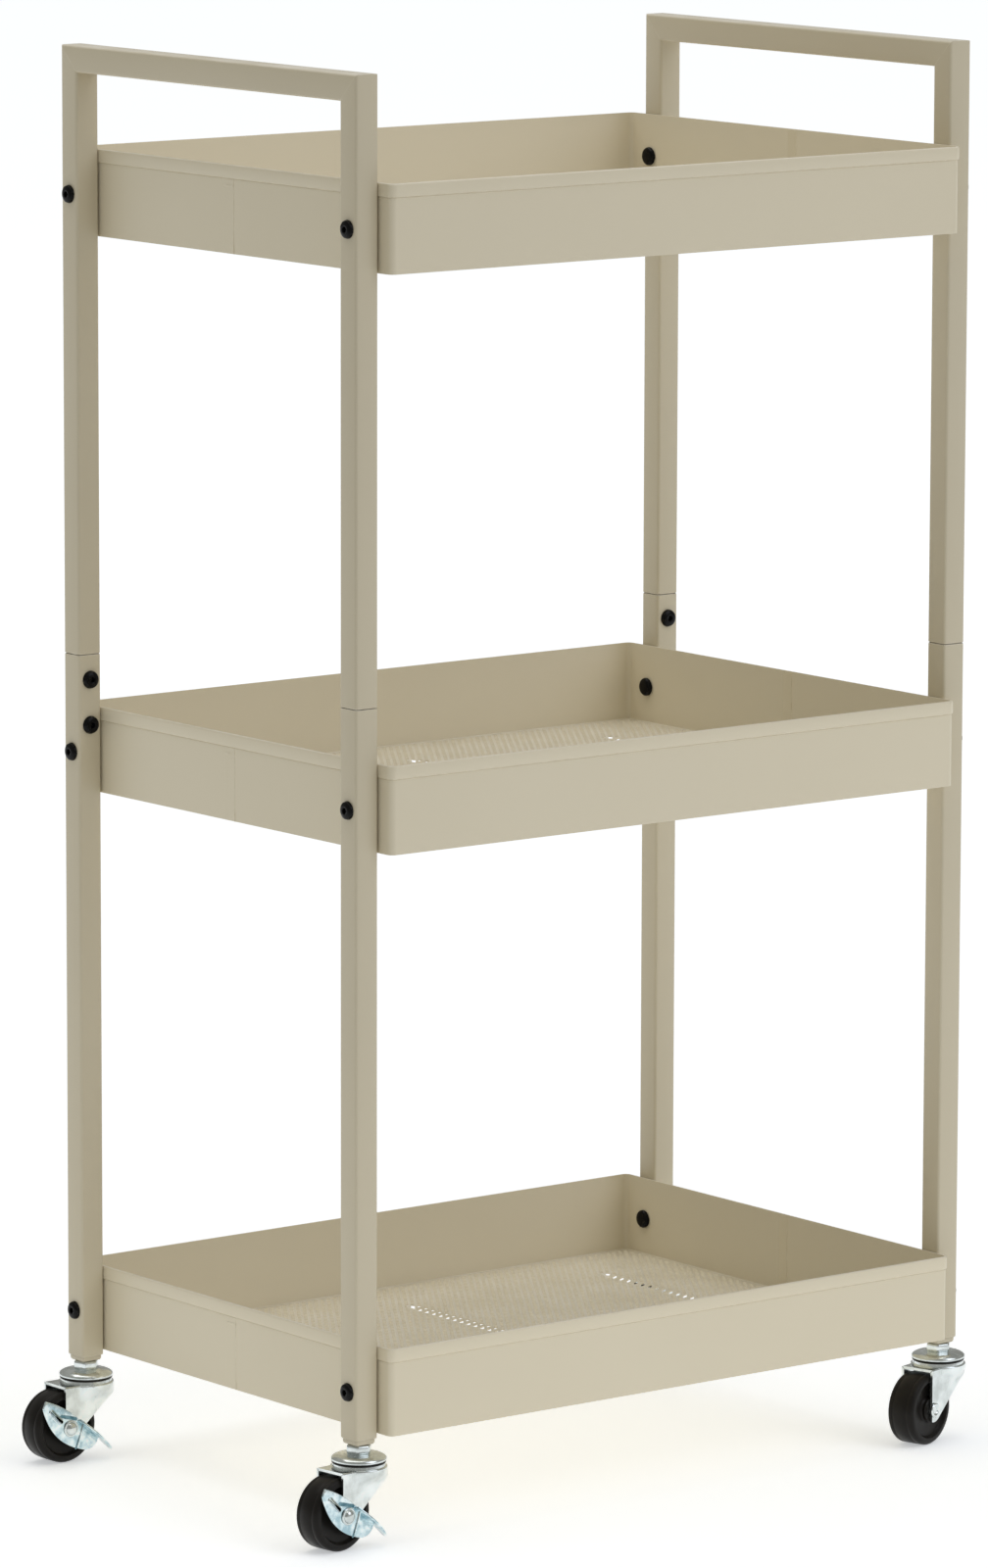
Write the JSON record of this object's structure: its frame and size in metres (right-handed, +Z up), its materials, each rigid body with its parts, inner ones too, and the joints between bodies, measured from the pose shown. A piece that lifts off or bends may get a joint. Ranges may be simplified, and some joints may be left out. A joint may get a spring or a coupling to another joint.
{
  "type": "service cart",
  "caption": "Tiered rolling service cart: square-tube frame with U-shaped end handles, shallow hemmed steel trays with perforated grooved floors, swivel stem casters with side brakes.",
  "frame": {"origin": "on the floor, under the middle of the whole cart's box, casters included", "axes": "+Z up, +X along the trays away from the braked casters, -Y the front"},
  "size_m": [0.4606, 0.2876, 0.782],
  "materials": {
    "paint": "beige powder coat, satin",
    "fastener": "black oxide, semi-gloss",
    "zinc": "bright zinc plate",
    "wheel": "moulded black plastic"
  },
  "bodies": {
    "cart": {"handle_frame_left": "paint", "handle_frame_right": "paint", "leg_front_left": "paint", "leg_back_left": "paint", "leg_front_right": "paint", "leg_back_right": "paint", "tray_top": "paint", "tray_middle": "paint", "tray_bottom": "paint", "tray_screw_top_front_left": "fastener", "tray_screw_top_front_right": "fastener", "tray_screw_top_back_left": "fastener", "tray_screw_top_back_right": "fastener", "tray_screw_middle_front_left": "fastener", "tray_screw_middle_front_right": "fastener", "tray_screw_middle_back_left": "fastener", "tray_screw_middle_back_right": "fastener", "tray_screw_bottom_front_left": "fastener", "tray_screw_bottom_front_right": "fastener", "tray_screw_bottom_back_left": "fastener", "tray_screw_bottom_back_right": "fastener", "cap_nut_top_front_left": "fastener", "cap_nut_top_front_right": "fastener", "cap_nut_top_back_left": "fastener", "cap_nut_top_back_right": "fastener", "cap_nut_middle_front_left": "fastener", "cap_nut_middle_front_right": "fastener", "cap_nut_middle_back_left": "fastener", "cap_nut_middle_back_right": "fastener", "cap_nut_bottom_front_left": "fastener", "cap_nut_bottom_front_right": "fastener", "cap_nut_bottom_back_left": "fastener", "cap_nut_bottom_back_right": "fastener", "joint_screw_front_left_upper": "fastener", "joint_screw_front_left_lower": "fastener", "joint_screw_front_right_upper": "fastener", "joint_screw_front_right_lower": "fastener", "joint_screw_back_left_upper": "fastener", "joint_screw_back_left_lower": "fastener", "joint_screw_back_right_upper": "fastener", "joint_screw_back_right_lower": "fastener", "caster_stem_front_left": "zinc", "caster_stem_front_right": "zinc", "caster_stem_back_left": "zinc", "caster_stem_back_right": "zinc"},
    "swivel_front_left": {"caster_fork_front_left": "zinc", "caster_axle_front_left": "zinc"},
    "swivel_front_right": {"caster_fork_front_right": "zinc", "caster_axle_front_right": "zinc"},
    "swivel_back_left": {"caster_fork_back_left": "zinc", "caster_axle_back_left": "zinc"},
    "swivel_back_right": {"caster_fork_back_right": "zinc", "caster_axle_back_right": "zinc"},
    "wheel_front_left": {"caster_wheel_front_left": "wheel"},
    "wheel_front_right": {"caster_wheel_front_right": "wheel"},
    "wheel_back_left": {"caster_wheel_back_left": "wheel"},
    "wheel_back_right": {"caster_wheel_back_right": "wheel"},
    "brake_front_left": {"brake_lever_front_left": "zinc"},
    "brake_back_left": {"brake_lever_back_left": "zinc"}
  },
  "joints": [
    {"name": "swivel_front_left", "type": "hinge", "parent": "cart", "child": "swivel_front_left", "pos_m": [-0.19062, -0.12563, 0.045], "axis": [0, 0, 1], "continuous": true},
    {"name": "swivel_front_right", "type": "hinge", "parent": "cart", "child": "swivel_front_right", "pos_m": [0.21488, -0.12563, 0.045], "axis": [0, 0, 1], "continuous": true},
    {"name": "swivel_back_left", "type": "hinge", "parent": "cart", "child": "swivel_back_left", "pos_m": [-0.19062, 0.12587, 0.045], "axis": [0, 0, 1], "continuous": true},
    {"name": "swivel_back_right", "type": "hinge", "parent": "cart", "child": "swivel_back_right", "pos_m": [0.21488, 0.12587, 0.045], "axis": [0, 0, 1], "continuous": true},
    {"name": "roll_front_left", "type": "hinge", "parent": "swivel_front_left", "child": "wheel_front_left", "pos_m": [-0.2095, -0.12778, 0.02], "axis": [-0.1132, 0.9936, 0], "continuous": true},
    {"name": "roll_front_right", "type": "hinge", "parent": "swivel_front_right", "child": "wheel_front_right", "pos_m": [0.19661, -0.13087, 0.02], "axis": [-0.2756, 0.9613, 0], "continuous": true},
    {"name": "roll_back_left", "type": "hinge", "parent": "swivel_back_left", "child": "wheel_back_left", "pos_m": [-0.20962, 0.1257, 0.02], "axis": [-0.0087, 1, 0], "continuous": true},
    {"name": "roll_back_right", "type": "hinge", "parent": "swivel_back_right", "child": "wheel_back_right", "pos_m": [0.19592, 0.12454, 0.02], "axis": [-0.0698, 0.9976, 0], "continuous": true},
    {"name": "brake_front_left", "type": "hinge", "parent": "swivel_front_left", "child": "brake_front_left", "pos_m": [-0.2095, -0.12778, 0.02], "axis": [0.1132, -0.9936, 0], "range_deg": [0, 30]},
    {"name": "brake_back_left", "type": "hinge", "parent": "swivel_back_left", "child": "brake_back_left", "pos_m": [-0.20962, 0.1257, 0.02], "axis": [0.0087, -1, 0], "range_deg": [0, 30]}
  ]
}
